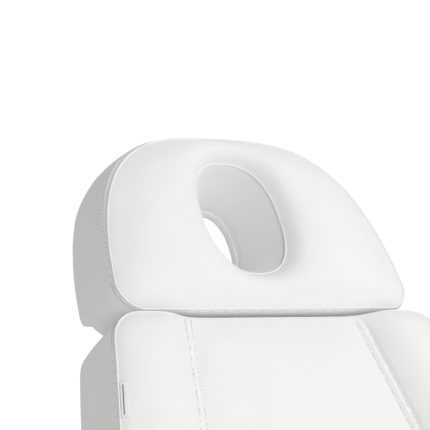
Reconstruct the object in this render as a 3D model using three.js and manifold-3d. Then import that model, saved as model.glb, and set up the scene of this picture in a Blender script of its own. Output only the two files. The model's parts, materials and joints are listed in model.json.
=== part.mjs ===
// Facial treatment bed: electric height, backrest and legrest, with a face-hole headrest.
// Millimetres. X runs across the bed, +Y toward the head end, +Z up, floor at Z = 0.
import * as THREE from "three";
import { mergeVertices } from "three/addons/utils/BufferGeometryUtils.js";
import Module from "manifold-3d";

const wasm = await Module();
wasm.setup();

// ---------------------------------------------------------------- driving dimensions

const GAP = 0.3; // clearance between touching pieces
const WALL = 3; // wall of the steel tubes

const SEAT_TOP = 555; // top of the seat cushion with the lift lowered
const CUSHION_T = 100; // seat and legrest cushion thickness
const BOARD_T = 15; // plywood boards
const HALF_WIDTH = 340; // half width of seat, legrest and lower backrest cushions
const SEAM_X = 195; // centre panel half width
const SEAM_TOP_X = 167; // the same at the top of the backrest
const PANEL_DROP = 14; // centre panels sit this far below the bolsters

const SEAT_Y = [-242, 235]; // seat cushion ends
const HINGE_X = HALF_WIDTH + 4.5; // inner face of the seat's backrest hinge plates
const POST_X_OUT = HALF_WIDTH + 24; // inner face of the armrest posts
const RAIL_Z = [400, 439.4]; // seat frame tube height

const BACK_PIVOT = { y: 245, z: 525 };
const BACK_ANGLE = 62; // backrest above the horizontal at rest
const BACK_TOP_Z = 30; // backrest face above its pivot
const BACK_T = 95;
const BACK_LENGTH = 600;
const BACK_TOP_HALF = 291; // half width at the top of the backrest
const SHOULDER_Y = 380; // above this the backrest narrows toward the headrest
const BACK_LUG = { y: 5, z: -112 }; // actuator lug on the backrest frame
const POST_X = 90; // headrest posts

const HEAD_GAP = 11; // backrest top to headrest
const HEAD_HALF = 271; // headrest half width
const HEAD_HEIGHT = 294;
const HEAD_T = 90;
const HEAD_DROP = 21; // headrest face behind the backrest face
const HEAD_CORNER = 45;
const HEAD_POWER = 3.2; // squareness of the domed outline
const HEAD_BASE = -124; // centre of the domed outline below the bottom edge
const HOLE = { halfX: 73, halfY: 94, y: 155, power: 2.4 };
const HEAD_HINGE = { y: 655, z: -122 };

const LEG_PIVOT = { y: -250, z: 420 };
const LEG_ANGLE = 30; // legrest below the horizontal at rest
const LEG_LENGTH = 348;
const FOOT_Y = [-474, -354]; // footrest cushion, measured from the leg pivot
const LEG_LUG = { y: 0, z: -52 };

const LIFT_BASE = { y: 190, z: 120 }; // lower fixed pivot of the lift
const LIFT_RISE = { y: 54.8, z: 71.4 }; // from the lower to the upper pivot
const LIFT_ARM = 420;
const LIFT_ANGLE = 18; // lift arms above the horizontal when lowered
const LIFT_LEVER = { length: 120, angle: 119 }; // lever on the lower arm

const BASE_RAIL_X = 210;
const BASE_HALF_Y = 400;
const FOOT_POS = { x: 210, y: 355 };

const ARMREST = { y: 150, z: 690 }; // armrest pivot
const ARMREST_PAD = { from: -240, to: 118, width: 84, height: 50 };

const ACTUATORS = {
  lift: { base: { y: -335, z: 110 }, x: 0, tube: 330, rod: 118, hole: 12, washer: 18.5, motor: "side" },
  back: { base: { y: -90, z: 290 }, x: 0, tube: 322, rod: 232, hole: 16.5, washer: 27, motor: "side" },
  leg: { base: { y: 60, z: 352 }, x: -105, tube: 190, rod: 124, hole: 9.2, washer: 13, motor: "below" },
};
const ROD_RADIUS = 14;
const EYE_HALF = 16; // half width of a rod eye
const EYE_RADIUS = 19;
const LUG_PLATE = [20, 28]; // the two lug plates lie between these offsets from the rod
const PIN_RADIUS = 6;

// ---------------------------------------------------------------- geometry helpers

const radians = (degrees) => (degrees * Math.PI) / 180;

// A [from, to] range on the right side, or its mirror image on the left.
const sided = (side, [from, to]) => (side > 0 ? [from, to] : [-to, -from]);

const basis = (...axes) => new THREE.Matrix4().makeBasis(...axes.map((axis) => new THREE.Vector3(...axis)));
const ALONG_X = basis([0, 1, 0], [0, 0, 1], [1, 0, 0]); // a Y-Z drawing extruded along X
const ALONG_Y = basis([0, 0, 1], [1, 0, 0], [0, 1, 0]); // a Z-X drawing extruded along Y

function solid(geometry) {
  const clean = geometry.clone();
  clean.deleteAttribute("normal");
  clean.deleteAttribute("uv");
  const merged = mergeVertices(clean, 1e-4);
  return new wasm.Manifold(
    new wasm.Mesh({
      numProp: 3,
      vertProperties: new Float32Array(merged.attributes.position.array),
      triVerts: new Uint32Array(merged.index.array),
    }),
  );
}

function toGeometry(body) {
  const mesh = body.asOriginal().simplify(0.01).getMesh();
  const geometry = new THREE.BufferGeometry();
  geometry.setAttribute("position", new THREE.BufferAttribute(new Float32Array(mesh.vertProperties), 3));
  geometry.setIndex(new THREE.BufferAttribute(new Uint32Array(mesh.triVerts), 1));
  return geometry;
}

const join = (solids) => solids.reduce((sum, item) => sum.add(item));
const cut = (body, tools) => tools.reduce((rest, tool) => rest.subtract(tool), body);

// A box from its two opposite corners, each given as a [from, to] range.
function box([x0, x1], [y0, y1], [z0, z1]) {
  const shape = new THREE.BoxGeometry(x1 - x0, y1 - y0, z1 - z0);
  return solid(shape.translate((x0 + x1) / 2, (y0 + y1) / 2, (z0 + z1) / 2));
}

function rodX(radius, [x0, x1], at, segments = 14) {
  const shape = new THREE.CylinderGeometry(radius, radius, x1 - x0, segments);
  return solid(shape.rotateZ(-Math.PI / 2).translate((x0 + x1) / 2, at.y, at.z));
}

function rodY(radius, [y0, y1], x, z, segments = 14) {
  const shape = new THREE.CylinderGeometry(radius, radius, y1 - y0, segments);
  return solid(shape.translate(x, (y0 + y1) / 2, z));
}

function rodZ(radius, [z0, z1], x, y, segments = 14) {
  const shape = new THREE.CylinderGeometry(radius, radius, z1 - z0, segments);
  return solid(shape.rotateX(Math.PI / 2).translate(x, y, (z0 + z1) / 2));
}

function extrude(outline, depth, curveSegments) {
  return new THREE.ExtrudeGeometry(outline, { depth, bevelEnabled: false, curveSegments });
}

// A plate drawn in the Y-Z plane and given its thickness along X.
function plateX(outline, [x0, x1]) {
  const shape = extrude(outline, x1 - x0, 4);
  return solid(shape.applyMatrix4(ALONG_X).translate(x0, 0, 0));
}

// The outline that wraps two discs, used for levers and hinge plates.
function linkOutline(a, radiusA, b, radiusB) {
  const heading = Math.atan2(b.z - a.z, b.y - a.y);
  const spread = Math.acos((radiusA - radiusB) / Math.hypot(b.y - a.y, b.z - a.z));
  const outline = new THREE.Shape();
  outline.absarc(b.y, b.z, radiusB, heading - spread, heading + spread, false);
  outline.absarc(a.y, a.z, radiusA, heading + spread, heading - spread + 2 * Math.PI, false);
  return outline;
}

// A bar of rectangular tube: its outside, and the hollow that runs through it. A rail is open
// at both ends; a cross tube reaches into the walls of the rails it is welded to.
function tube(x, y, z, axis, isRail) {
  const stretch = (by, acrossBy) =>
    Object.entries({ x, y, z }).map(([name, [from, to]]) => {
      const reach = name === axis ? by : acrossBy;
      return [from - reach, to + reach];
    });
  return {
    outside: box(...stretch(isRail ? 0 : WALL / 2, 0)),
    inside: box(...stretch(isRail ? 1 : WALL + 1, -WALL)),
  };
}

// Tubes welded together: every hollow joins the next and opens at a rail end.
function weldTubes(tubes, plates = [], bores = []) {
  const shell = cut(join(tubes.map((item) => item.outside)), [join(tubes.map((item) => item.inside))]);
  return cut(join([shell, ...plates]), bores);
}

// A cross pin with a head at each end, centred on the local origin.
function headedPin(radius, half, headRadius, headThickness) {
  const profile = [
    [0, -half],
    [headRadius, -half],
    [headRadius, -half + headThickness],
    [radius, -half + headThickness],
    [radius, half - headThickness],
    [headRadius, half - headThickness],
    [headRadius, half],
    [0, half],
  ].map(([r, h]) => new THREE.Vector2(r, h));
  return new THREE.LatheGeometry(profile, 12).rotateZ(-Math.PI / 2);
}

function cable(points, radius, steps) {
  const path = new THREE.CatmullRomCurve3(points.map((point) => new THREE.Vector3(...point)));
  const section = new THREE.Shape().absarc(0, 0, radius, 0, 2 * Math.PI, false);
  const sweep = { steps, extrudePath: path, curveSegments: 3, bevelEnabled: false };
  return new THREE.ExtrudeGeometry(section, sweep);
}

// ---------------------------------------------------------------- upholstery helpers

// A closed outline through corners listed counter-clockwise. Outward corners are rounded.
function roundedOutline(corners, radius, steps = 4) {
  const points = corners.flatMap(([x, y], index) => {
    const corner = new THREE.Vector2(x, y);
    const back = new THREE.Vector2(...corners.at(index - 1)).sub(corner).normalize();
    const ahead = new THREE.Vector2(...corners[(index + 1) % corners.length]).sub(corner).normalize();
    const halfAngle = Math.acos(back.dot(ahead)) / 2;
    if (ahead.cross(back) < 0.3) return [corner];
    const inward = back.clone().add(ahead).setLength(radius / Math.sin(halfAngle));
    const centre = corner.clone().add(inward);
    const start = back.setLength(radius / Math.tan(halfAngle)).sub(inward);
    const sweep = Math.PI - 2 * halfAngle;
    return Array.from({ length: steps + 1 }, (_, step) =>
      start.clone().rotateAround(new THREE.Vector2(), (sweep * step) / steps).add(centre),
    );
  });
  return new THREE.Shape(points);
}

function rectangle([x0, x1], [y0, y1], radius = 20) {
  const corners = [
    [x0, y0],
    [x1, y0],
    [x1, y1],
    [x0, y1],
  ];
  return roundedOutline(corners, radius);
}

// A pad with rounded edges, standing on Z = bottom.
function pad(outline, bottom, thickness, edge, curveSegments = 4) {
  const shape = new THREE.ExtrudeGeometry(outline, {
    depth: thickness - 2 * edge,
    bevelThickness: edge,
    bevelSize: edge,
    bevelOffset: -edge,
    bevelSegments: 3,
    curveSegments,
  });
  return shape.translate(0, 0, bottom + edge);
}

// One side of a cushion from an inner to an outer line, each given as [x, y] from bottom to top.
function stripOutline(inner, outer, radius) {
  const rightSide = [...outer, ...inner.toReversed()];
  return roundedOutline(rightSide[0][0] > 0 ? rightSide : rightSide.toReversed(), radius);
}

const mirrored = (line) => line.map(([x, y]) => [-x, y]);
const shifted = (line, by) => line.map(([x, y]) => [x + by, y]);

// A cushion with a raised bolster down each side and a lower centre panel between the seams.
function bolsterCushion(bottom, thickness, seam, side) {
  const tuck = shifted(seam, 50);
  const centre = stripOutline(mirrored(tuck), tuck, 30);
  const bolsters = [stripOutline(seam, side, 34), stripOutline(mirrored(seam), mirrored(side), 34)];
  const parts = bolsters.map((outline) => solid(pad(outline, bottom, thickness, 26)));
  parts.push(solid(pad(centre, bottom, thickness - PANEL_DROP, 24)));
  return toGeometry(join(parts));
}

function superellipse(halfX, halfY, power, angle) {
  const reach = (value) => Math.sign(value) * Math.abs(value) ** (2 / power);
  return new THREE.Vector2(halfX * reach(Math.cos(angle)), halfY * reach(Math.sin(angle)));
}

// The D-shaped headrest outline: straight bottom edge, rounded corners, domed top.
function headOutline(inset = 0) {
  const half = HEAD_HALF - inset;
  const rise = HEAD_HEIGHT - HEAD_BASE - inset;
  const bottom = inset;
  const corner = HEAD_CORNER - inset / 2;
  const widthAt = (y) => half * (1 - ((y - HEAD_BASE) / rise) ** HEAD_POWER) ** (1 / HEAD_POWER);
  const cornerX = widthAt(bottom + corner) - corner;
  const outline = new THREE.Shape();
  outline.absarc(cornerX, bottom + corner, corner, -Math.PI / 2, 0, false);
  const start = Math.asin(((bottom + corner - HEAD_BASE) / rise) ** (HEAD_POWER / 2));
  const steps = 20;
  for (let step = 1; step < steps; step += 1) {
    const point = superellipse(half, rise, HEAD_POWER, start + ((Math.PI - 2 * start) * step) / steps);
    outline.lineTo(point.x, point.y + HEAD_BASE);
  }
  outline.absarc(-cornerX, bottom + corner, corner, Math.PI, 1.5 * Math.PI, false);
  return outline;
}

function holePath(clearance = 0) {
  const path = new THREE.Path();
  const steps = 28;
  for (let step = 0; step < steps; step += 1) {
    const angle = (-2 * Math.PI * step) / steps;
    const point = superellipse(HOLE.halfX + clearance, HOLE.halfY + clearance, HOLE.power, angle);
    if (step === 0) path.moveTo(point.x, point.y + HOLE.y);
    else path.lineTo(point.x, point.y + HOLE.y);
  }
  return path;
}

// ---------------------------------------------------------------- finishes and nodes

const FINISH = {
  leather: [0xf2f0ec, 0.45, 0],
  whiteSteel: [0xe9e9e7, 0.4, 0.3],
  darkSteel: [0x4a4d50, 0.45, 0.6],
  bright: [0xc9ccd0, 0.25, 1],
  plywood: [0xc8a878, 0.75, 0],
  whitePlastic: [0xeceded, 0.4, 0],
  greyPlastic: [0x8e9296, 0.5, 0],
  blackPlastic: [0x202224, 0.5, 0],
  rubber: [0x1b1c1d, 0.85, 0],
  cloth: [0xf6f5f2, 0.9, 0],
};

function addPart(parent, name, geometry, finish) {
  const [color, roughness, metalness] = FINISH[finish];
  const mesh = new THREE.Mesh(geometry, new THREE.MeshStandardMaterial({ color, roughness, metalness }));
  mesh.name = name;
  parent.add(mesh);
  return mesh;
}

function addGroup(parent, name, at, degrees = 0) {
  const group = new THREE.Group();
  group.name = name;
  group.position.set(at.x ?? 0, at.y, at.z);
  group.rotation.x = radians(degrees);
  parent.add(group);
  return group;
}

const ORIGIN = { y: 0, z: 0 };
const along = (point, length, degrees) => ({
  y: point.y + length * Math.cos(radians(degrees)),
  z: point.z + length * Math.sin(radians(degrees)),
});
const offset = (point, by) => ({ y: point.y + by.y, z: point.z + by.z });
const turned = (point, degrees) => ({
  y: point.y * Math.cos(radians(degrees)) - point.z * Math.sin(radians(degrees)),
  z: point.y * Math.sin(radians(degrees)) + point.z * Math.cos(radians(degrees)),
});

const LIFT_UPPER = offset(LIFT_BASE, LIFT_RISE);
const CARRIAGE_LOWER = along(LIFT_BASE, LIFT_ARM, 180 - LIFT_ANGLE);
const CARRIAGE_UPPER = offset(CARRIAGE_LOWER, LIFT_RISE);

// ---------------------------------------------------------------- base

const MAIN_PIN = { radius: 10, half: 198, head: 15, thickness: 5 };
const PIVOT_PLATE = [182, 192];

function addMainPin(parent, name, at) {
  const pin = headedPin(MAIN_PIN.radius, MAIN_PIN.half, MAIN_PIN.head, MAIN_PIN.thickness);
  addPart(parent, name, pin, "bright").position.set(0, at.y, at.z);
}

function baseFrame() {
  const z = [35, 85];
  const tubes = [];
  for (const side of [-1, 1]) {
    const x = side * BASE_RAIL_X;
    tubes.push(tube([x - 20, x + 20], [-BASE_HALF_Y, BASE_HALF_Y], z, "y", true));
    const y = side * (BASE_HALF_Y - 25);
    tubes.push(tube([-BASE_RAIL_X + 20, BASE_RAIL_X - 20], [y - 15, y + 15], z, "x", false));
  }
  const plates = [];
  for (const side of [-1, 1]) {
    const range = sided(side, PIVOT_PLATE);
    plates.push(box(range, [150, 236], [46, 121]));
    plates.push(plateX(linkOutline(LIFT_BASE, 24, LIFT_UPPER, 24), range));
    const lug = sided(side, LUG_PLATE);
    plates.push(plateX(linkOutline({ y: -378, z: 62 }, 22, ACTUATORS.lift.base, 15), lug));
  }
  const bores = [
    rodX(MAIN_PIN.radius + GAP, [-250, 250], LIFT_BASE),
    rodX(MAIN_PIN.radius + GAP, [-250, 250], LIFT_UPPER),
    rodX(PIN_RADIUS + GAP, [-60, 60], ACTUATORS.lift.base),
  ];
  for (const x of [-FOOT_POS.x, FOOT_POS.x]) {
    for (const y of [-FOOT_POS.y, FOOT_POS.y]) bores.push(rodZ(6 + GAP, [30, 60], x, y, 16));
  }
  return toGeometry(weldTubes(tubes, plates, bores));
}

function baseCover() {
  const outer = pad(rectangle([-252, 252], [-430, 430], 60), 30, 70, 8);
  const pocket = pad(rectangle([-246, 246], [-424, 424], 55), 10, 85, 6);
  const opening = box([-200, 200], [-402, 296], [80, 120]);
  return toGeometry(cut(solid(outer), [solid(pocket), opening]));
}

function levellingFoot() {
  const profile = [
    [0, 0],
    [27, 0],
    [28, 3],
    [26, 9],
    [12, 14],
    [12, 22],
    [6, 22],
    [6, 56],
    [0, 56],
  ].map(([r, z]) => new THREE.Vector2(r, z));
  return new THREE.LatheGeometry(profile, 12).rotateX(Math.PI / 2);
}

function buildBase(bed) {
  const base = addGroup(bed, "base", ORIGIN);
  addPart(base, "base_frame", baseFrame(), "darkSteel");
  addPart(base, "base_cover", baseCover(), "whitePlastic");
  for (const [end, y] of [["foot_end", -FOOT_POS.y], ["head_end", FOOT_POS.y]]) {
    for (const [side, x] of [["left", -FOOT_POS.x], ["right", FOOT_POS.x]]) {
      addPart(base, `levelling_foot_${end}_${side}`, levellingFoot(), "rubber").position.set(x, y, 0);
    }
  }
  addMainPin(base, "base_lower_pin", LIFT_BASE);
  addMainPin(base, "base_upper_pin", LIFT_UPPER);
  addActuatorPin(base, "lift_actuator_base_pin", ACTUATORS.lift);
  const lead = [
    [150, -430.4, 60],
    [150, -470, 58],
    [152, -500, 30],
    [145, -535, 11],
    [110, -590, 6],
    [20, -620, 5],
    [-60, -600, 5],
    [-90, -540, 5],
    [-30, -500, 5],
    [40, -520, 5],
  ];
  addPart(base, "power_cable", cable(lead, 4, 44), "blackPlastic");
}

// ---------------------------------------------------------------- lift

const ARM_BAR = [150, 162];
const ARM_TUBE = 172;

// A lift arm drawn level, from its fixed pivot at the origin toward -Y.
function liftArm(lever) {
  const far = { y: -LIFT_ARM, z: 0 };
  const parts = [ORIGIN, far].map((at) => rodX(18, [-ARM_TUBE, ARM_TUBE], at));
  for (const side of [-1, 1]) {
    const range = sided(side, ARM_BAR);
    parts.push(plateX(linkOutline(ORIGIN, 24, far, 24), range));
  }
  const bores = [
    rodX(MAIN_PIN.radius + GAP, [-200, 200], ORIGIN),
    rodX(MAIN_PIN.radius + GAP, [-200, 200], far),
  ];
  if (lever) {
    const lug = turned(lever, LIFT_ANGLE);
    for (const side of [-1, 1]) {
      parts.push(plateX(linkOutline(ORIGIN, 20, lug, 17), sided(side, LUG_PLATE)));
    }
    bores.push(rodX(ACTUATORS.lift.hole, [-60, 60], lug));
  }
  return toGeometry(cut(join(parts), bores));
}

function buildLift(bed) {
  const leverTip = along(ORIGIN, LIFT_LEVER.length, LIFT_LEVER.angle);
  const lower = addGroup(bed, "lower_arm", LIFT_BASE, -LIFT_ANGLE);
  addPart(lower, "lower_lift_arm", liftArm(leverTip), "darkSteel");
  const upper = addGroup(bed, "upper_arm", LIFT_UPPER, -LIFT_ANGLE);
  addPart(upper, "upper_lift_arm", liftArm(null), "darkSteel");
  buildActuator(bed, "lift", ACTUATORS.lift, offset(LIFT_BASE, leverTip));
}

// ---------------------------------------------------------------- actuators

function actuatorHousing({ tube: tubeEnd, motor }) {
  const sideways = motor === "side" ? 66 : 0;
  const below = motor === "side" ? 0 : 62;
  const body = [
    rodX(15, [-EYE_HALF, EYE_HALF], ORIGIN),
    box([-EYE_HALF, EYE_HALF], [0, 44], [-12, 12]),
    box([-32, 32 + sideways], [40, 104], [-32, 32 + below]),
    rodY(24, [100, tubeEnd], 0, 0, 20),
    rodY(29, [100, 190], sideways, below, 20),
  ];
  const bores = [
    rodX(PIN_RADIUS + GAP, [-40, 40], ORIGIN),
    rodY(ROD_RADIUS + GAP, [112, tubeEnd + 5], 0, 0),
  ];
  return toGeometry(cut(join(body), bores));
}

// The rod starts inside the housing and ends in an eye around its pin.
function actuatorRod(start, length) {
  const eye = { y: length, z: 0 };
  const shaft = rodY(ROD_RADIUS, [start, length - 8], 0, 0);
  const head = rodX(EYE_RADIUS, [-EYE_HALF, EYE_HALF], eye);
  return toGeometry(cut(join([shaft, head]), [rodX(PIN_RADIUS + GAP, [-40, 40], eye)]));
}

function addActuatorPin(parent, name, { base, x }) {
  addPart(parent, name, headedPin(PIN_RADIUS, 33, 10, 4), "bright").position.set(x, base.y, base.z);
}

// Housing, rod and rod pin of one linear actuator, lying from its base pin to its lug.
function buildActuator(parent, name, actuator, lug) {
  const { base, x, washer } = actuator;
  const length = Math.hypot(lug.y - base.y, lug.z - base.z);
  const heading = THREE.MathUtils.radToDeg(Math.atan2(lug.z - base.z, lug.y - base.y));
  const group = addGroup(parent, `${name}_actuator`, { x, ...base }, heading);
  addPart(group, `${name}_actuator_housing`, actuatorHousing(actuator), "greyPlastic");
  addPart(group, `${name}_actuator_rod`, actuatorRod(actuator.rod, length), "bright");
  const pin = addPart(group, `${name}_actuator_rod_pin`, headedPin(PIN_RADIUS, 33, washer, 4), "bright");
  pin.position.y = length;
}

// ---------------------------------------------------------------- seat

function seatFrame() {
  const tubes = [];
  const plates = [];
  for (const side of [-1, 1]) {
    const rail = sided(side, [250, 280]);
    tubes.push(tube(rail, [-236, 214], RAIL_Z, "y", true));
    plates.push(plateX(linkOutline({ y: -225, z: 420 }, 16, LEG_PIVOT, 16), rail));
    const outrigger = sided(side, [278, HINGE_X + 6.5]);
    plates.push(box(outrigger, [165, 210], [404, 434]));
    const backHinge = sided(side, [HINGE_X, HINGE_X + 6.5]);
    plates.push(plateX(linkOutline({ y: 188, z: 419 }, 26, BACK_PIVOT, 22), backHinge));
    const drop = sided(side, PIVOT_PLATE);
    plates.push(plateX(linkOutline(CARRIAGE_LOWER, 24, CARRIAGE_UPPER, 24), drop));
    plates.push(plateX(linkOutline(CARRIAGE_UPPER, 27, { y: -150, z: 402 }, 36), drop));
    plates.push(box(drop, [-219, 58], [404, 433]));
  }
  for (const y of [-213, -90, 60]) tubes.push(tube([-250, 250], [y - 12, y + 12], RAIL_Z, "x", false));
  const bores = [
    rodX(PIN_RADIUS + GAP, [-330, 330], LEG_PIVOT),
    rodX(PIN_RADIUS + 2 + GAP, [-400, 400], BACK_PIVOT),
    rodX(MAIN_PIN.radius + GAP, [-240, 240], CARRIAGE_LOWER),
    rodX(MAIN_PIN.radius + GAP, [-240, 240], CARRIAGE_UPPER),
  ];
  for (const { base, x } of [ACTUATORS.back, ACTUATORS.leg]) {
    for (const side of [-1, 1]) {
      const lug = sided(side, LUG_PLATE).map((value) => x + value);
      plates.push(plateX(linkOutline({ y: base.y, z: 412 }, 12, base, 15), lug));
    }
    bores.push(rodX(PIN_RADIUS + GAP, [x - 60, x + 60], base));
  }
  return toGeometry(weldTubes(tubes, plates, bores));
}

function boardGeometry(outline, bottom) {
  return extrude(outline, BOARD_T, 3).translate(0, 0, bottom);
}

function buildSeat(bed) {
  const seat = addGroup(bed, "seat", ORIGIN);
  addPart(seat, "seat_frame", seatFrame(), "whiteSteel");
  const board = rectangle([-HALF_WIDTH + 14, HALF_WIDTH - 14], [SEAT_Y[0] + 12, 180]);
  addPart(seat, "seat_board", boardGeometry(board, RAIL_Z[1] + GAP), "plywood");
  const seam = SEAT_Y.map((y) => [SEAM_X, y]);
  const side = SEAT_Y.map((y) => [HALF_WIDTH, y]);
  const cushion = bolsterCushion(SEAT_TOP - CUSHION_T, CUSHION_T, seam, side);
  addPart(seat, "seat_cushion", cushion, "leather");
  addMainPin(seat, "carriage_lower_pin", CARRIAGE_LOWER);
  addMainPin(seat, "carriage_upper_pin", CARRIAGE_UPPER);
  addActuatorPin(seat, "back_actuator_base_pin", ACTUATORS.back);
  addActuatorPin(seat, "leg_actuator_base_pin", ACTUATORS.leg);
  const controls = pad(rectangle([200, 244], [-70, 42], 8), 340, 58, 5);
  addPart(seat, "control_box", controls, "greyPlastic");
}

// ---------------------------------------------------------------- backrest

function backFrame() {
  const top = BACK_TOP_Z - BACK_T - BOARD_T - 2 * GAP;
  const z = [top - 30, top];
  const middle = top - 15;
  const tubes = [];
  const plates = [];
  for (const side of [-1, 1]) {
    const rail = sided(side, [200, 230]);
    tubes.push(tube(rail, [48, 585], z, "y", true));
    const hinge = sided(side, [HINGE_X + 7, HINGE_X + 13.5]);
    plates.push(plateX(linkOutline({ y: 68, z: middle }, 15, ORIGIN, 22), hinge));
    const stub = sided(side, [228, HINGE_X + 13.5]);
    plates.push(box(stub, [56, 80], [middle - 12, middle + 12]));
    const lug = sided(side, LUG_PLATE);
    plates.push(plateX(linkOutline({ y: 68, z: middle }, 14, BACK_LUG, 26), lug));
  }
  for (const y of [68, 330, 560]) tubes.push(tube([-200, 200], [y - 13, y + 13], z, "x", false));
  const bores = [
    rodX(PIN_RADIUS + 2 + GAP, [-400, 400], ORIGIN),
    rodX(ACTUATORS.back.hole, [-60, 60], BACK_LUG),
    rodY(10 + GAP, [300, 600], -POST_X, middle),
    rodY(10 + GAP, [300, 600], POST_X, middle),
    rodZ(5 + GAP, [z[0] - 5, middle], POST_X, 560, 16),
  ];
  return { geometry: toGeometry(weldTubes(tubes, plates, bores)), middle, back: z[0] };
}

function clampKnob() {
  const profile = [
    [0, 0],
    [17, 0],
    [20, 4],
    [20, 16],
    [8, 20],
    [8, 24],
    [5, 24],
    [5, 28],
    [0, 28],
  ].map(([r, z]) => new THREE.Vector2(r, z));
  const body = solid(new THREE.LatheGeometry(profile, 24).rotateX(Math.PI / 2));
  const flutes = [];
  for (let index = 0; index < 6; index += 1) {
    const angle = (index * Math.PI) / 3;
    flutes.push(rodZ(5, [-5, 21.5], 22 * Math.cos(angle), 22 * Math.sin(angle), 12));
  }
  return toGeometry(cut(body, flutes));
}

function buildBackrest(bed) {
  const back = addGroup(bed, "backrest", BACK_PIVOT, BACK_ANGLE);
  const frame = backFrame();
  addPart(back, "backrest_frame", frame.geometry, "whiteSteel");
  const boardZ = BACK_TOP_Z - BACK_T - GAP - BOARD_T;
  const side = [
    [HALF_WIDTH, 8],
    [HALF_WIDTH, SHOULDER_Y],
    [BACK_TOP_HALF, BACK_LENGTH],
  ];
  const seam = [
    [SEAM_X, 8],
    [SEAM_X, SHOULDER_Y],
    [SEAM_TOP_X, BACK_LENGTH],
  ];
  const boardSide = [
    [HALF_WIDTH - 15, 24],
    [HALF_WIDTH - 15, SHOULDER_Y],
    [BACK_TOP_HALF - 14, BACK_LENGTH - 14],
  ];
  const board = stripOutline(mirrored(boardSide), boardSide, 20);
  addPart(back, "backrest_board", boardGeometry(board, boardZ), "plywood");
  const cushion = bolsterCushion(BACK_TOP_Z - BACK_T, BACK_T, seam, side);
  addPart(back, "backrest_cushion", cushion, "leather");
  const tag = new THREE.BoxGeometry(20, 34, 0.8);
  addPart(back, "blank_tag", tag, "cloth").position.set(-252, 520, BACK_TOP_Z + GAP + 0.4);
  for (const [name, end] of [["back_hinge_pin_left", -1], ["back_hinge_pin_right", 1]]) {
    const pin = headedPin(PIN_RADIUS + 2, 9, 14, 1.8);
    addPart(back, name, pin, "bright").position.x = end * (HINGE_X + 6.75);
  }
  const knob = addPart(back, "headrest_clamp_knob", clampKnob(), "blackPlastic");
  knob.position.set(POST_X, 560, frame.back - 24 - GAP);
  buildHeadrest(back, frame.middle);
}

function headrestBracket(postZ) {
  const lugs = [-1, 1].map((side) => {
    const range = sided(side, [50, 58]);
    return plateX(linkOutline({ y: 606, z: postZ - 6 }, 7, HEAD_HINGE, 12), range);
  });
  const posts = [-1, 1].map((side) => rodY(10, [290, 605], side * POST_X, postZ));
  const bracket = join([box([-104, 104], [597, 617], [postZ - 11, postZ + 11]), ...posts, ...lugs]);
  return toGeometry(cut(bracket, [rodX(PIN_RADIUS + GAP, [-80, 80], HEAD_HINGE)]));
}

// The steel plate screwed to the back of the headrest board, with two hinge ears.
function headrestPlate(boardBack) {
  const ears = [-1, 1].map((side) => {
    const range = sided(side, [38, 46]);
    return plateX(linkOutline(HEAD_HINGE, 13, { y: 672, z: boardBack - 8 }, 7), range);
  });
  const plate = box([-80, 80], [650, 692], [boardBack - 4.3, boardBack - GAP]);
  return toGeometry(cut(join([plate, ...ears]), [rodX(PIN_RADIUS + GAP, [-80, 80], HEAD_HINGE)]));
}

function buildHeadrest(back, postZ) {
  const faceZ = BACK_TOP_Z - HEAD_DROP;
  const baseY = BACK_LENGTH + HEAD_GAP;
  const boardBack = faceZ - HEAD_T - GAP - BOARD_T;
  const slide = addGroup(back, "headrest_slide", ORIGIN);
  addPart(slide, "headrest_bracket", headrestBracket(postZ), "bright");
  const tilt = addGroup(slide, "headrest", ORIGIN);
  addPart(tilt, "headrest_plate", headrestPlate(boardBack), "whiteSteel");
  const boardOutline = headOutline(14);
  boardOutline.holes.push(holePath(10));
  addPart(tilt, "headrest_board", boardGeometry(boardOutline, boardBack), "plywood").position.y = baseY;
  const outline = headOutline();
  outline.holes.push(holePath(-14));
  addPart(tilt, "headrest_cushion", pad(outline, faceZ - HEAD_T, HEAD_T, 14), "leather").position.y = baseY;
  const pin = addPart(tilt, "headrest_hinge_pin", headedPin(PIN_RADIUS, 63, 10, 4), "bright");
  pin.position.set(0, HEAD_HINGE.y, HEAD_HINGE.z);
}

// ---------------------------------------------------------------- legrest and footrest

const LEG_ROD_X = 140;

function legFrame() {
  const z = [-20, 19.4];
  const tubes = [];
  const plates = [];
  for (const side of [-1, 1]) {
    const rail = sided(side, [216, 246]);
    tubes.push(tube(rail, [-342, -22], z, "y", true));
    const hinge = sided(side, [222, 246]);
    plates.push(plateX(linkOutline({ y: -32, z: 0 }, 16, ORIGIN, 16), hinge));
    const lug = sided(side, LUG_PLATE).map((value) => ACTUATORS.leg.x + value);
    plates.push(plateX(linkOutline({ y: -38, z: -6 }, 12, LEG_LUG, 15), lug));
  }
  for (const y of [-40, -180, -330]) tubes.push(tube([-216, 216], [y - 12, y + 12], z, "x", false));
  const bores = [
    rodX(PIN_RADIUS + GAP, [-260, -210], ORIGIN),
    rodX(PIN_RADIUS + GAP, [210, 260], ORIGIN),
    rodX(ACTUATORS.leg.hole, [ACTUATORS.leg.x - 60, ACTUATORS.leg.x + 60], LEG_LUG),
    rodY(9 + GAP, [-400, -100], -LEG_ROD_X, 0),
    rodY(9 + GAP, [-400, -100], LEG_ROD_X, 0),
  ];
  return toGeometry(weldTubes(tubes, plates, bores));
}

function footrestSlide(boardTop) {
  const rods = [-1, 1].map((side) => rodY(9, [-400, -60], side * LEG_ROD_X, 0));
  const bar = box([-160, 160], [-424, -396], [-12, boardTop - 2]);
  const plate = box([-290, 290], [FOOT_Y[0] + 10, FOOT_Y[1] - 4], [boardTop - 6, boardTop]);
  return toGeometry(join([bar, plate, ...rods]));
}

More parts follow.
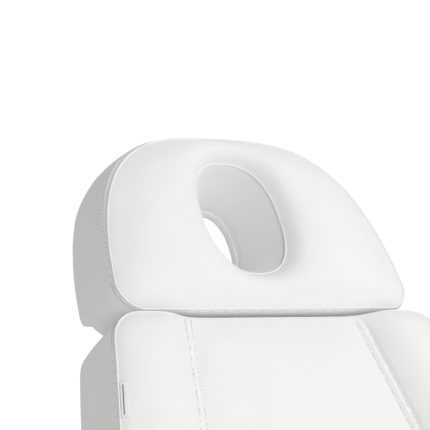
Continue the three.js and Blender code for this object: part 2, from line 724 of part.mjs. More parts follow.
function buildLegrest(bed) {
  const leg = addGroup(bed, "legrest", LEG_PIVOT, LEG_ANGLE);
  const boardZ = 19.4 + GAP;
  const cushionZ = boardZ + BOARD_T + GAP;
  const thickness = SEAT_TOP - LEG_PIVOT.z - cushionZ;
  addPart(leg, "legrest_frame", legFrame(), "whiteSteel");
  const board = rectangle([-HALF_WIDTH + 14, HALF_WIDTH - 14], [-LEG_LENGTH + 6, -18]);
  addPart(leg, "legrest_board", boardGeometry(board, boardZ), "plywood");
  const ends = [-LEG_LENGTH, -8];
  const seam = ends.map((y) => [SEAM_X, y]);
  const side = ends.map((y) => [HALF_WIDTH, y]);
  const cushion = bolsterCushion(cushionZ, thickness, seam, side);
  addPart(leg, "legrest_cushion", cushion, "leather");
  for (const [name, end] of [["leg_hinge_pin_left", -1], ["leg_hinge_pin_right", 1]]) {
    addPart(leg, name, headedPin(PIN_RADIUS, 32.3, 9, 3), "bright").position.x = end * 251;
  }
  const foot = addGroup(leg, "footrest", ORIGIN);
  addPart(foot, "footrest_slide", footrestSlide(cushionZ - GAP), "bright");
  const footOutline = rectangle([-HALF_WIDTH, HALF_WIDTH], FOOT_Y, 30);
  addPart(foot, "footrest_cushion", pad(footOutline, cushionZ, thickness, 26), "leather");
}

// ---------------------------------------------------------------- armrests

function armrestBracket(side) {
  const base = sided(side, [280 + GAP, POST_X_OUT + 12]);
  const post = sided(side, [POST_X_OUT, POST_X_OUT + 12]);
  const stub = sided(side, [POST_X_OUT + 11, POST_X_OUT + 48]);
  const outline = linkOutline({ y: 95, z: 424 }, 24, ARMREST, 18);
  const parts = [box(base, [72, 118], [404, 436]), plateX(outline, post), rodX(9, stub, ARMREST)];
  return toGeometry(join(parts));
}

function armrestArm(side) {
  const boss = sided(side, [POST_X_OUT + 13, POST_X_OUT + 43]);
  const bar = sided(side, [POST_X_OUT + 16, POST_X_OUT + 40]);
  const reach = ARMREST_PAD.from - ARMREST.y;
  const arm = join([
    rodX(18, boss, ORIGIN),
    box(bar, [reach + 60, 0], [-8, 12]),
    box(bar, [reach + 50, ARMREST_PAD.to - ARMREST.y - 20], [8, 20]),
  ]);
  return toGeometry(cut(arm, [rodX(9 + GAP, [boss[0] - 5, boss[1] + 5], ORIGIN)]));
}

function buildArmrest(seat, name, side) {
  addPart(seat, `armrest_bracket_${name}`, armrestBracket(side), "whiteSteel");
  const arm = addGroup(seat, `armrest_${name}`, ARMREST);
  addPart(arm, `armrest_arm_${name}`, armrestArm(side), "bright");
  const centre = side * (HALF_WIDTH + 60);
  const halfWidth = ARMREST_PAD.width / 2;
  const outline = rectangle(
    [centre - halfWidth, centre + halfWidth],
    [ARMREST_PAD.from - ARMREST.y, ARMREST_PAD.to - ARMREST.y],
    24,
  );
  addPart(arm, `armrest_pad_${name}`, pad(outline, 20 + GAP, ARMREST_PAD.height, 16), "leather");
}

// ---------------------------------------------------------------- handset

const HANDSET = { x: [HALF_WIDTH + 18, HALF_WIDTH + 40], y: [-118, -68], z: [300, 430] };

function buildHandset(seat) {
  const outline = rectangle(HANDSET.y, HANDSET.z, 10);
  const depth = HANDSET.x[1] - HANDSET.x[0];
  const shell = pad(outline, 0, depth, 3).applyMatrix4(ALONG_X).translate(HANDSET.x[0], 0, 0);
  const middleY = (HANDSET.y[0] + HANDSET.y[1]) / 2;
  const rockerZ = [400, 366, 332];
  const pocketX = [HANDSET.x[1] - 8, HANDSET.x[1] + 2];
  const pockets = rockerZ.map((z) => box(pocketX, [middleY - 15.3, middleY + 15.3], [z - 12.5, z + 12.5]));
  addPart(seat, "handset_body", toGeometry(cut(solid(shell), pockets)), "whitePlastic");
  ["height", "backrest", "legrest"].forEach((name, index) => {
    const rocker = new THREE.Shape();
    rocker.moveTo(-11.5, 0);
    rocker.lineTo(-11.5, 5.5);
    rocker.quadraticCurveTo(0, 2.6, 11.5, 5.5);
    rocker.lineTo(11.5, 0);
    rocker.quadraticCurveTo(0, -5, -11.5, 0);
    const geometry = extrude(rocker, 30, 6).applyMatrix4(ALONG_Y).translate(0, -15, 0);
    const key = addPart(seat, `${name}_rocker`, geometry, "greyPlastic");
    key.position.set(HANDSET.x[1] - 4.5, middleY, rockerZ[index]);
  });
  const holder = join([
    box([280 + GAP, HANDSET.x[0] - 4], [-112, -74], [406, 434]),
    box([HANDSET.x[0] - 8, HANDSET.x[0] - GAP], [-112, -74], [352, 434]),
  ]);
  addPart(seat, "handset_holder", toGeometry(holder), "greyPlastic");
  const lead = [
    [HANDSET.x[0] + 11, middleY, 299.5],
    [HANDSET.x[0] + 11, middleY, 270],
    [HANDSET.x[0], middleY + 30, 240],
    [320, middleY + 55, 250],
    [285, middleY + 60, 300],
    [270, middleY + 62, 345],
    [258, middleY + 62, 362],
    [244.8, middleY + 62, 362],
  ];
  addPart(seat, "handset_cable", cable(lead, 3, 28), "blackPlastic");
}

// ---------------------------------------------------------------- assembly

const bed = new THREE.Group();
bed.name = "facial_treatment_bed";
buildBase(bed);
buildLift(bed);
buildSeat(bed);
const seatGroup = bed.getObjectByName("seat");
buildActuator(seatGroup, "back", ACTUATORS.back, offset(BACK_PIVOT, turned(BACK_LUG, BACK_ANGLE)));
buildActuator(seatGroup, "leg", ACTUATORS.leg, offset(LEG_PIVOT, turned(LEG_LUG, LEG_ANGLE)));
buildBackrest(bed);
buildLegrest(bed);
buildArmrest(seatGroup, "left", -1);
buildArmrest(seatGroup, "right", 1);
buildHandset(seatGroup);

// The origin lies under the middle of the whole bed.
bed.updateMatrixWorld(true);
const extent = new THREE.Box3().setFromObject(bed, true);
bed.position.y = -(extent.min.y + extent.max.y) / 2;

export default bed;
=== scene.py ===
import json
import math
import bpy
import numpy as np
from mathutils import Matrix, Vector, kdtree, noise
from mathutils.bvhtree import BVHTree


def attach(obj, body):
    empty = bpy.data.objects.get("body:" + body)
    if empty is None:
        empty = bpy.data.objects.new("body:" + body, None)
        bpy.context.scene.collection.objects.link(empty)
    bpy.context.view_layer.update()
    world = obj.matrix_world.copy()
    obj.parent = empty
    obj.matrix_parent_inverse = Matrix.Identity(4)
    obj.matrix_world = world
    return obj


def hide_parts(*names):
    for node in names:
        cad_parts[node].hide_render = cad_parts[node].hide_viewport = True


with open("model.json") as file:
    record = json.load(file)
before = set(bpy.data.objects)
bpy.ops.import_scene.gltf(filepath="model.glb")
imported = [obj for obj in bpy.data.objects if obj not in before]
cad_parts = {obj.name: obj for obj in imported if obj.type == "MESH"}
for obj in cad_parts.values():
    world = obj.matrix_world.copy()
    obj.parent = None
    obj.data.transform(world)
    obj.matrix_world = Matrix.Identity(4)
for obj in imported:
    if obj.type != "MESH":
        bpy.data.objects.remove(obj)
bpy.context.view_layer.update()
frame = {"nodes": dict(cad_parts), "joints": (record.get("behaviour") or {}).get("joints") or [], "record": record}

JOINTS = {joint["name"]: joint for joint in frame["joints"]}


def pivot(joint):
    return Vector(JOINTS[joint]["pos_m"])


# Local frames: X across, Y up the panel toward the head end, Z out of its upper face, in metres.
BACK = Matrix.Translation(pivot("backrest_recline")) @ Matrix.Rotation(math.radians(62), 4, "X")
LEG = Matrix.Translation(pivot("legrest_lift")) @ Matrix.Rotation(math.radians(30), 4, "X")
SEAT = Matrix.Translation((0, pivot("backrest_recline").y - 0.245, 0))


# ------------------------------------------------------------------ materials

def new_material(name):
    made = bpy.data.materials.new(name)
    made.use_nodes = True
    tree = made.node_tree
    return made, tree, tree.nodes["Principled BSDF"]


def node(tree, kind, **values):
    made = tree.nodes.new(kind)
    for key, value in values.items():
        if key in made.inputs:
            made.inputs[key].default_value = value
        else:
            setattr(made, key, value)
    return made


def object_coords(tree):
    return node(tree, "ShaderNodeTexCoord").outputs["Object"]


def ramp(tree, source, stops):
    made = node(tree, "ShaderNodeValToRGB")
    elements = made.color_ramp.elements
    while len(elements) < len(stops):
        elements.new(0.5)
    for element, (place, value) in zip(elements, stops):
        element.position = place
        element.color = (*value, 1) if isinstance(value, tuple) else (value, value, value, 1)
    tree.links.new(source, made.inputs["Fac"])
    return made.outputs["Color"]


def bump(tree, height, strength, distance, before=None):
    made = node(tree, "ShaderNodeBump", Strength=strength, Distance=distance)
    tree.links.new(height, made.inputs["Height"])
    if before:
        tree.links.new(before, made.inputs["Normal"])
    return made.outputs["Normal"]


def leather(name, light, dark, roughness=0.46, grain=0.16):
    made, tree, shader = new_material(name)
    coords = object_coords(tree)
    cells = node(tree, "ShaderNodeTexVoronoi", feature="DISTANCE_TO_EDGE", Scale=900.0)
    pores = node(tree, "ShaderNodeTexNoise", Scale=1600.0, Detail=4.0)
    cloud = node(tree, "ShaderNodeTexNoise", Scale=9.0, Detail=3.0)
    rub = node(tree, "ShaderNodeTexNoise", Scale=38.0, Detail=5.0)
    for texture in (cells, pores, cloud, rub):
        tree.links.new(coords, texture.inputs["Vector"])
    tone = ramp(tree, cloud.outputs["Fac"], [(0.3, dark), (0.7, light)])
    tree.links.new(tone, shader.inputs["Base Color"])
    tree.links.new(
        ramp(tree, rub.outputs["Fac"], [(0.3, roughness - 0.05), (0.75, roughness + 0.08)]),
        shader.inputs["Roughness"],
    )
    edges = ramp(tree, cells.outputs["Distance"], [(0.0, 0.0), (0.12, 1.0)])
    normal = bump(tree, edges, grain, 0.0004)
    normal = bump(tree, pores.outputs["Fac"], grain * 0.6, 0.0003, normal)
    tree.links.new(normal, shader.inputs["Normal"])
    shader.inputs["Specular IOR Level"].default_value = 0.35
    shader.inputs["Sheen Weight"].default_value = 0.08
    shader.inputs["Sheen Roughness"].default_value = 0.5
    return made


def paint(name, colour, roughness, metallic=0.0, worn=(0.5, 0.5, 0.5)):
    made, tree, shader = new_material(name)
    coords = object_coords(tree)
    peel = node(tree, "ShaderNodeTexNoise", Scale=420.0, Detail=2.0)
    cloud = node(tree, "ShaderNodeTexNoise", Scale=14.0, Detail=6.0)
    for texture in (peel, cloud):
        tree.links.new(coords, texture.inputs["Vector"])
    shade = tuple(0.965 * value for value in colour)
    body = ramp(tree, cloud.outputs["Fac"], [(0.35, shade), (0.65, colour)])
    edge = node(tree, "ShaderNodeBevel", samples=4, Radius=0.002)
    geometry = node(tree, "ShaderNodeNewGeometry")
    facing = node(tree, "ShaderNodeVectorMath", operation="DOT_PRODUCT")
    tree.links.new(edge.outputs["Normal"], facing.inputs[0])
    tree.links.new(geometry.outputs["Normal"], facing.inputs[1])
    wear = ramp(tree, facing.outputs["Value"], [(0.9, 0.35), (0.995, 0.0)])
    mix = node(tree, "ShaderNodeMix", data_type="RGBA")
    tree.links.new(wear, mix.inputs["Factor"])
    tree.links.new(body, mix.inputs[6])
    mix.inputs[7].default_value = (*worn, 1)
    tree.links.new(mix.outputs[2], shader.inputs["Base Color"])
    tree.links.new(
        ramp(tree, cloud.outputs["Fac"], [(0.3, roughness - 0.06), (0.7, roughness + 0.08)]),
        shader.inputs["Roughness"],
    )
    shader.inputs["Metallic"].default_value = metallic
    tree.links.new(bump(tree, peel.outputs["Fac"], 0.12, 0.0004), shader.inputs["Normal"])
    return made


def brushed(name, colour, roughness):
    made, tree, shader = new_material(name)
    stretch = node(tree, "ShaderNodeMapping")
    stretch.inputs["Scale"].default_value = (12, 900, 900)
    tree.links.new(object_coords(tree), stretch.inputs["Vector"])
    lines = node(tree, "ShaderNodeTexNoise", Scale=1.0, Detail=3.0)
    tree.links.new(stretch.outputs["Vector"], lines.inputs["Vector"])
    shade = tuple(0.82 * value for value in colour)
    tone = ramp(tree, lines.outputs["Fac"], [(0.3, shade), (0.7, colour)])
    tree.links.new(tone, shader.inputs["Base Color"])
    tree.links.new(
        ramp(tree, lines.outputs["Fac"], [(0.3, roughness - 0.08), (0.7, roughness + 0.1)]),
        shader.inputs["Roughness"],
    )
    shader.inputs["Metallic"].default_value = 1.0
    tree.links.new(bump(tree, lines.outputs["Fac"], 0.06, 0.0003), shader.inputs["Normal"])
    return made


def plywood(name):
    made, tree, shader = new_material(name)
    coords = object_coords(tree)
    stretch = node(tree, "ShaderNodeMapping")
    stretch.inputs["Scale"].default_value = (3, 26, 26)
    tree.links.new(coords, stretch.inputs["Vector"])
    grain = node(tree, "ShaderNodeTexNoise", Scale=3.0, Detail=8.0, Distortion=0.8)
    tree.links.new(stretch.outputs["Vector"], grain.inputs["Vector"])
    stops = [(0.3, (0.5, 0.36, 0.2)), (0.55, (0.68, 0.52, 0.32)), (0.75, (0.76, 0.61, 0.4))]
    tree.links.new(ramp(tree, grain.outputs["Fac"], stops), shader.inputs["Base Color"])
    shader.inputs["Roughness"].default_value = 0.7
    tree.links.new(bump(tree, grain.outputs["Fac"], 0.2, 0.0005), shader.inputs["Normal"])
    return made


WHITE_LEATHER = leather("white_leather", (0.882, 0.88, 0.876), (0.862, 0.86, 0.857))
# painted highlight: a lighter copy of the white leather for every welt, seam cord and join, standing in for the
# light line that catches along the piping
WELT_HIGHLIGHT_LEATHER = leather("welt_painted_highlight", (0.932, 0.93, 0.926), (0.912, 0.91, 0.907), 0.4, 0.08)
THREAD = leather("thread", (0.93, 0.93, 0.926), (0.86, 0.86, 0.857), 0.6, 0.3)
# painted shade: a darker leather for the studs between stitches, standing in for the shadow inside each needle
# hole
NEEDLE_HOLE_SHADE = leather("needle_hole_painted_shade", (0.64, 0.64, 0.637), (0.58, 0.58, 0.577), 0.6, 0.3)
# painted shade: a darker copy of the white leather for the breathing hole's wall, standing in for the shade deep
# in the hole
HOLE_WALL_SHADE_LEATHER = leather("hole_wall_painted_shade", (0.84, 0.84, 0.836), (0.81, 0.81, 0.807), 0.5, 0.16)
TAPE = leather("woven_tape", (0.97, 0.97, 0.97), (0.93, 0.93, 0.93), 0.8, 0.3)
TAPE_STRIPE = leather("woven_stripe", (0.2, 0.2, 0.205), (0.13, 0.13, 0.135), 0.85, 0.5)
SLOT_LOOK = {
    "white_frame_paint": paint("white_powder_coat", (0.82, 0.82, 0.81), 0.38, worn=(0.62, 0.62, 0.6)),
    "dark_frame_paint": paint("dark_powder_coat", (0.07, 0.073, 0.078), 0.42, 0.1, worn=(0.3, 0.3, 0.31)),
    "bright_steel": brushed("ground_steel", (0.72, 0.73, 0.74), 0.28),
    "plywood": plywood("birch_plywood"),
    "white_plastic": paint("white_abs", (0.84, 0.84, 0.84), 0.45, worn=(0.9, 0.9, 0.9)),
    "grey_plastic": paint("grey_abs", (0.3, 0.31, 0.32), 0.5, worn=(0.4, 0.4, 0.41)),
    "black_plastic": paint("black_pvc", (0.02, 0.02, 0.022), 0.5, worn=(0.09, 0.09, 0.09)),
    "foot_rubber": paint("matt_rubber", (0.018, 0.018, 0.02), 0.8, worn=(0.06, 0.06, 0.06)),
    "white_leather": WHITE_LEATHER,
    "tag_cloth": TAPE,
}
for part in frame["record"]["subparts"]:
    shape = frame["nodes"][part["node"]]
    shape.data.materials.clear()
    shape.data.materials.append(SLOT_LOOK[part["material_slot"]])
    rounding = shape.modifiers.new("rounding", "BEVEL")
    rounding.width = 0.0008
    rounding.segments = 2
    rounding.limit_method = "ANGLE"
    rounding.angle_limit = math.radians(40)
    rounding.harden_normals = True
    for polygon in shape.data.polygons:
        polygon.use_smooth = True


# ------------------------------------------------------------------ meshes

WELT_RADIUS, HEM_RADIUS, HOLE_WELT_RADIUS, JOIN_RADIUS = 0.0013, 0.0015, 0.0011, 0.0008
WELT_OUT, WELT_UP = 0.0006, 0.0003  # how far a welt stands proud of its edge
CORD_SIDES, THREAD_SIDES = 8, 6
STITCH_PITCH, STITCH_LENGTH, THREAD_RADIUS = 0.0048, 0.0027, 0.0005
NEEDLE_HOLE_SIZE = (0.0012, 0.0009)  # half length along the seam, half width across it
ROW_T = 0.052  # where the topstitching runs down a gusset, from 0 at its front seam to 1 at its back
ROW_LIFT = 0.0002


def build_mesh(name, points, faces, matrix, body, material):
    mesh = bpy.data.meshes.new(name)
    placed = np.asarray(points) @ np.array(matrix.to_3x3()).T + np.array(matrix.translation)
    mesh.from_pydata(placed.tolist(), [], [tuple(int(i) for i in face) for face in faces])
    mesh.materials.append(material)
    mesh.polygons.foreach_set("use_smooth", [True] * len(mesh.polygons))
    shape = bpy.data.objects.new(name, mesh)
    bpy.context.scene.collection.objects.link(shape)
    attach(shape, body)
    return shape


def band_faces(first, second):
    """Quads between two closed loops of vertex numbers."""
    nxt_first, nxt_second = np.roll(first, -1), np.roll(second, -1)
    return np.stack([first, nxt_first, nxt_second, second], 1)


def grid_quads(numbers):
    """Quads over a grid of vertex numbers."""
    corners = [numbers[:-1, :-1], numbers[:-1, 1:], numbers[1:, 1:], numbers[1:, :-1]]
    return np.stack(corners, -1).reshape(-1, 4)


def grid_rim(numbers):
    """The vertex numbers round the edge of a grid."""
    return np.concatenate([numbers[0, :-1], numbers[:-1, -1], numbers[-1, :0:-1], numbers[:0:-1, 0]])


def sample(path, shares):
    """Points at the given shares of a polyline's length."""
    path = np.asarray(path, float)
    steps = np.linalg.norm(np.diff(path, axis=0), axis=1)
    length = np.concatenate([[0], np.cumsum(steps)])
    columns = [np.interp(shares * length[-1], length, column) for column in path.T]
    return np.stack(columns, 1)


def resample(points, count, closed=True):
    """Points evenly spaced along a polyline."""
    path = np.vstack([points, points[:1]]) if closed else points
    return sample(path, np.linspace(0, 1, count, endpoint=not closed))


def outward(loop):
    """Outward unit normals of a counter-clockwise closed loop in the XY plane."""
    along = np.roll(loop, -1, 0) - np.roll(loop, 1, 0)
    normal = np.stack([along[:, 1], -along[:, 0]], 1)
    return normal / np.linalg.norm(normal, axis=1)[:, None]


def ripple(points, scale, seed):
    """Smooth noise at each point, about -1 to 1."""
    shift = Vector((seed, -seed, 2 * seed))
    return np.array([noise.noise(Vector(point) * scale + shift) for point in points])


def tube(name, path, radius, matrix, body, closed=True):
    """A thin round leather cord along a path."""
    path = np.asarray(path)
    sides = CORD_SIDES
    count = len(path)
    if closed:
        along = np.roll(path, -1, 0) - np.roll(path, 1, 0)
    else:
        along = np.gradient(path, axis=0)
    along /= np.linalg.norm(along, axis=1)[:, None]
    side = np.cross(along, (0, 0, 1.0))
    flat = np.linalg.norm(side, axis=1) < 1e-3
    side[flat] = np.cross(along[flat], (0, 1.0, 0))
    side /= np.linalg.norm(side, axis=1)[:, None]
    up = np.cross(side, along)
    turn = np.linspace(0, 2 * math.pi, sides, endpoint=False)
    rings = path[:, None] + radius * (
        np.cos(turn)[None, :, None] * side[:, None] + np.sin(turn)[None, :, None] * up[:, None]
    )
    faces = []
    for index in range(count if closed else count - 1):
        first = np.arange(sides) + index * sides
        second = np.arange(sides) + ((index + 1) % count) * sides
        faces.extend(band_faces(first, second))
    if not closed:
        faces.append(np.arange(sides)[::-1])
        faces.append(np.arange(sides) + (count - 1) * sides)
    # every cord takes the lighter welt leather, a painted highlight
    build_mesh(name, rings.reshape(-1, 3), faces, matrix, body, WELT_HIGHLIGHT_LEATHER)


def stitches(name, path, lift, matrix, body, closed=True):
    """A row of thread stitches along a path; lift is the surface normal at each path point."""
    path, lift = np.asarray(path), np.asarray(lift)
    length, radius, sides = STITCH_LENGTH, THREAD_RADIUS, THREAD_SIDES
    ends = np.vstack([path, path[:1]]) if closed else path
    total = np.linalg.norm(np.diff(ends, axis=0), axis=1).sum()
    count = max(3, int(total / STITCH_PITCH))
    both = resample(np.hstack([path, lift]), count, closed)
    where, normal = both[:, :3], both[:, 3:]
    normal = normal / np.linalg.norm(normal, axis=1)[:, None]
    if closed:
        along = np.roll(where, -1, 0) - np.roll(where, 1, 0)
    else:
        along = np.gradient(where, axis=0)
    along /= np.linalg.norm(along, axis=1)[:, None]
    side = np.cross(along, normal)
    side /= np.linalg.norm(side, axis=1)[:, None]
    # Each station's place along the stitch, thickness and height: the ends dive into the leather.
    stations = [(-0.5, 0.25, -0.9), (-0.32, 0.9, 0.0), (0.32, 0.9, 0.0), (0.5, 0.25, -0.9)]
    turn = np.linspace(0, 2 * math.pi, sides, endpoint=False)
    points, faces = shaded_needle_hole_studs(where, along, side, normal)
    shade_stud_faces = len(faces)
    for index in range(count):
        base = len(points)
        for run, size, sink in stations:
            centre = where[index] + along[index] * run * length + normal[index] * radius * (0.35 + sink)
            for angle in turn:
                reach = radius * size * (math.cos(angle) * side[index] + math.sin(angle) * normal[index])
                points.append(centre + reach)
        for ring in range(len(stations) - 1):
            first = base + ring * sides + np.arange(sides)
            faces.extend(band_faces(first, first + sides))
        faces.append(base + np.arange(sides)[::-1])
        faces.append(base + (len(stations) - 1) * sides + np.arange(sides))
    made = build_mesh(name, np.array(points), faces, matrix, body, THREAD)
    # the studs take the painted shade of the needle holes
    made.data.materials.append(NEEDLE_HOLE_SHADE)
    for index in range(shade_stud_faces):
        made.data.polygons[index].material_index = 1


def shaded_needle_hole_studs(where, along, side, normal):
    """Studs between one stitch and the next, painted darker with shade so they read as needle holes."""
    half_length, half_width = NEEDLE_HOLE_SIZE
    first = np.arange(THREAD_SIDES)
    points, faces = [], []
    for point, ahead, across, up in zip(where, along, side, normal):
        middle = point + ahead * STITCH_PITCH / 2
        base = len(points)
        for height in (0.5, -1.2):
            for angle in np.linspace(0, 2 * math.pi, THREAD_SIDES, endpoint=False):
                flat = half_length * math.cos(angle) * ahead + half_width * math.sin(angle) * across
                points.append(middle + flat + THREAD_RADIUS * height * up)
        faces.extend(band_faces(base + first, base + THREAD_SIDES + first))
        faces.append(base + first[::-1])
        faces.append(base + THREAD_SIDES + first)
    return points, faces


def surface_of(shape):
    """Ray lookups on a finished piece, given and returned in the row frame."""
    return BVHTree.FromObject(shape, bpy.context.evaluated_depsgraph_get())


def drape(points, surface, matrix, direction=(0, 0, -1)):
    """Points dropped onto a surface along a local direction, with the normals there."""
    inverse = matrix.inverted()
    turn = matrix.to_3x3()
    ray = (turn @ Vector(direction)).normalized()
    found, normals = [], []
    for point in points:
        start = matrix @ Vector(point) - ray * 0.05
        hit, normal, _, _ = surface.ray_cast(start, ray, 1.0)
        if hit is None:
            continue
        found.append(inverse @ hit)
        normals.append(turn.inverted() @ normal)
    return np.array([tuple(p) for p in found]), np.array([tuple(n) for n in normals])


def puff(points, faces, softness, cap=0.0035, voxel=0.009):
    """Blows up a coarse copy as pinned cloth and moves the soft points with it."""
    scene = bpy.context.scene
    mesh = bpy.data.meshes.new("cloth_trial")
    mesh.from_pydata(points.tolist(), [], [tuple(int(i) for i in face) for face in faces])
    trial = bpy.data.objects.new("cloth_trial", mesh)
    scene.collection.objects.link(trial)
    remesh = trial.modifiers.new("even", "REMESH")
    remesh.mode = "VOXEL"
    remesh.voxel_size = voxel
    coarse = bpy.data.meshes.new_from_object(trial.evaluated_get(bpy.context.evaluated_depsgraph_get()))
    trial.modifiers.clear()
    trial.data = coarse
    before = vertex_array(coarse)
    fine = kdtree.KDTree(len(points))
    for index, point in enumerate(points):
        fine.insert(point, index)
    fine.balance()
    pins = trial.vertex_groups.new(name="pins")
    held = [index for index, point in enumerate(before) if softness[fine.find(point)[1]] < 0.05]
    pins.add(held, 1.0, "REPLACE")
    cloth = trial.modifiers.new("cloth", "CLOTH")
    settings = cloth.settings
    settings.quality = 5
    settings.mass = 0.3
    settings.tension_stiffness = settings.compression_stiffness = 20
    settings.shear_stiffness = 8
    settings.bending_stiffness = 1.5
    settings.use_pressure = True
    settings.uniform_pressure_force = 4
    settings.shrink_min = -0.002
    settings.vertex_group_mass = "pins"
    settings.effector_weights.gravity = 0
    cloth.point_cache.frame_start, cloth.point_cache.frame_end = 1, 20
    for frame_number in range(1, 21):
        scene.frame_set(frame_number)
    settled = trial.evaluated_get(bpy.context.evaluated_depsgraph_get()).to_mesh()
    moved = vertex_array(settled) - before
    scene.frame_set(1)
    bpy.data.objects.remove(trial)
    length = np.linalg.norm(moved, axis=1)
    moved *= (np.minimum(length, cap) / np.maximum(length, 1e-9))[:, None]
    tree = kdtree.KDTree(len(before))
    for index, point in enumerate(before):
        tree.insert(point, index)
    tree.balance()
    made = points.copy()
    for index in np.nonzero(softness > 0)[0]:
        near = tree.find_n(points[index], 24)
        weights = np.array([math.exp(-((found[2] / 0.016) ** 2)) for found in near])
        push = (moved[[found[1] for found in near]] * weights[:, None]).sum(0) / weights.sum()
        made[index] += push * softness[index]
    return made


def vertex_array(mesh):
    flat = np.empty(len(mesh.vertices) * 3)
    mesh.vertices.foreach_get("co", flat)
    return flat.reshape(-1, 3)


# ------------------------------------------------------------------ headrest

HEAD_BASE_Y = 0.611
HEAD_WELT_Z = 0.005
HEAD_HALF, HEAD_HEIGHT, HEAD_THICK = 0.271, 0.287, 0.101
HOLE_Z = -0.006
HOLE_FRONT = np.array([0.003, 0.1585, 0.074, 0.095])  # centre x and y, half width and height
HOLE_BACK = np.array([-0.002, 0.1545, 0.0385, 0.0545])
CROWN = 0.0135
HEAD_SWELL = 0.0072  # how far the gusset stands out
HEAD_FLAT, HEAD_SHOULDER = 0.0017, 0.0058  # less than that underneath, and more round the shoulders
HEAD_LEAN = 0.002  # how much lower the back's outline lies than the front's
HEAD_JOIN_X = 0.035  # where the gusset's two ends are sewn together
HEAD_STEP = (0.026, 0.0155)  # how far up the back its lower edge steps forward, and by how much


def head_outline(count):
    """The D outline, counter-clockwise from the middle of the bottom edge."""
    base, power, corner = -0.124, 3.2, 0.040
    rise = HEAD_HEIGHT - base
    reach = HEAD_HALF * (1 - ((corner - base) / rise) ** power) ** (1 / power)
    right = [(0.0, 0.0)]
    for angle in np.linspace(-math.pi / 2, 0, 24):
        right.append((reach - corner + corner * math.cos(angle), corner + corner * math.sin(angle)))
    start = math.asin(((corner - base) / rise) ** (power / 2))
    for angle in np.linspace(start, math.pi / 2, 120)[1:]:
        x = HEAD_HALF * math.cos(angle) ** (2 / power) if angle < math.pi / 2 - 1e-6 else 0.0
        right.append((x, base + rise * math.sin(angle) ** (2 / power)))
    right = np.array(right)
    left = right[::-1][1:-1] * (-1, 1)
    return resample(np.vstack([right, left]), count)


def hole_loop(angles, t=0.0, grow=0.0):
    """The breathing hole's outline, t running from its front rim to its back."""
    x, y, half_x, half_y = HOLE_FRONT + (HOLE_BACK - HOLE_FRONT) * t + (0, 0, grow, grow)
    reach = (np.abs(np.cos(angles) / half_x) ** 2.4 + np.abs(np.sin(angles) / half_y) ** 2.4) ** (-1 / 2.4)
    return np.stack([x + reach * np.cos(angles), y + reach * np.sin(angles)], 1)


def side_swell(t, swell):
    """How far a gusset stands out, t running from its front seam to its back seam."""
    shoulder = (1 - math.exp(-t / 0.035)) * (1 - math.exp((t - 1) / 0.035))
    bulge = 0.45 * shoulder + 0.55 * math.sin(math.pi * t) ** 0.85
    return swell * bulge - 0.0012 * math.exp(-(((t - 0.022) / 0.014) ** 2))


def head_side(outer, t):
    """The headrest's gusset is fullest round the shoulders and flatter on the underside."""
    shoulder = np.clip((outer[:, 1] - 0.10) / 0.10, 0, 1) * np.clip((0.285 - outer[:, 1]) / 0.05, 0, 1)
    underside = np.clip(1 - outer[:, 1] / 0.012, 0, 1)
    return side_swell(t, HEAD_SWELL - HEAD_FLAT * underside + HEAD_SHOULDER * shoulder)[:, None]


def head_back(y):
    """The back's height: it steps forward along its lower edge, where the bracket's bar passes."""
    up, forward = HEAD_STEP
    return HEAD_WELT_Z - HEAD_THICK + forward * np.clip((up - y) / 0.008, 0, 1)


def headrest_rings():
    count = 360
    outer = head_outline(count)
    normal = outward(outer)
    angles = np.arctan2(outer[:, 1] - HOLE_FRONT[1], outer[:, 0] - HOLE_FRONT[0])
    rim = hole_loop(angles)
    back_z = HEAD_WELT_Z - HEAD_THICK
    rings, marks = [], {}

    def add(flat, height):
        rings.append(np.column_stack([flat, np.full(count, height) if np.isscalar(height) else height]))

    # Front panel: a full crown that rolls down into the hole.
    span = np.linalg.norm(outer - rim, axis=1)
    near_edge, middle = np.linspace(0, 0.16, 9)[:-1], np.linspace(0.16, 0.78, 18)[:-1]
    shares = np.concatenate([near_edge, middle, np.linspace(0.78, 1, 14)])
    face_top = HEAD_WELT_Z + CROWN
    for share in shares:
        from_edge, from_rim = share * span, (1 - share) * span
        crown = CROWN * (1 - np.exp(-from_edge / 0.028))
        roll = (face_top - HOLE_Z) * np.exp(-((from_rim / 0.0125) ** 1.2))
        add(outer + (rim - outer) * share, HEAD_WELT_Z + crown - roll)
    marks["rim"] = len(rings) - 1
    # The wall of the hole closes in toward the back and ends in a rolled seam.
    for t in np.linspace(0, 1, 22)[1:]:
        bulge = -0.004 * math.sin(math.pi * t) + 0.0016 * math.exp(-(((t - 0.035) / 0.03) ** 2))
        tuck = 0.0018 * math.exp(-(((t - 0.86) / 0.035) ** 2))
        add(hole_loop(angles, t**1.1, bulge + tuck), HOLE_Z + (back_z + 0.003 - HOLE_Z) * t)
    marks["wall_end"] = len(rings) - 1
    inner_back = hole_loop(angles, 1.0, 0.004)
    back_outer = outer + (0, -HEAD_LEAN)
    back_shares = np.concatenate([np.linspace(0, 0.72, 11)[:-1], np.linspace(0.72, 1, 12)])
    for share in back_shares:
        flat = inner_back + (back_outer - inner_back) * share
        add(flat, head_back(flat[:, 1]) - 0.0015 * math.sin(math.pi * share))
    for t in (*np.linspace(1, 0, 24)[1:-3], 0.105, 0.085, 0.068, 0.052, 0.038, 0.027, 0.017, 0.008):
        flat = outer + normal * head_side(outer, t)
        flat[:, 1] -= HEAD_LEAN * t
        add(flat, HEAD_WELT_Z + (head_back(back_outer[:, 1]) - HEAD_WELT_Z) * t)

    points = np.vstack(rings)
    points[:, 1] += HEAD_BASE_Y
    total = len(rings)
    faces = []
    for index in range(total):
        first = np.arange(count) + index * count
        second = np.arange(count) + ((index + 1) % total) * count
        faces.extend(band_faces(first, second)[:, ::-1])
    return outer, normal, points, np.array(faces), marks


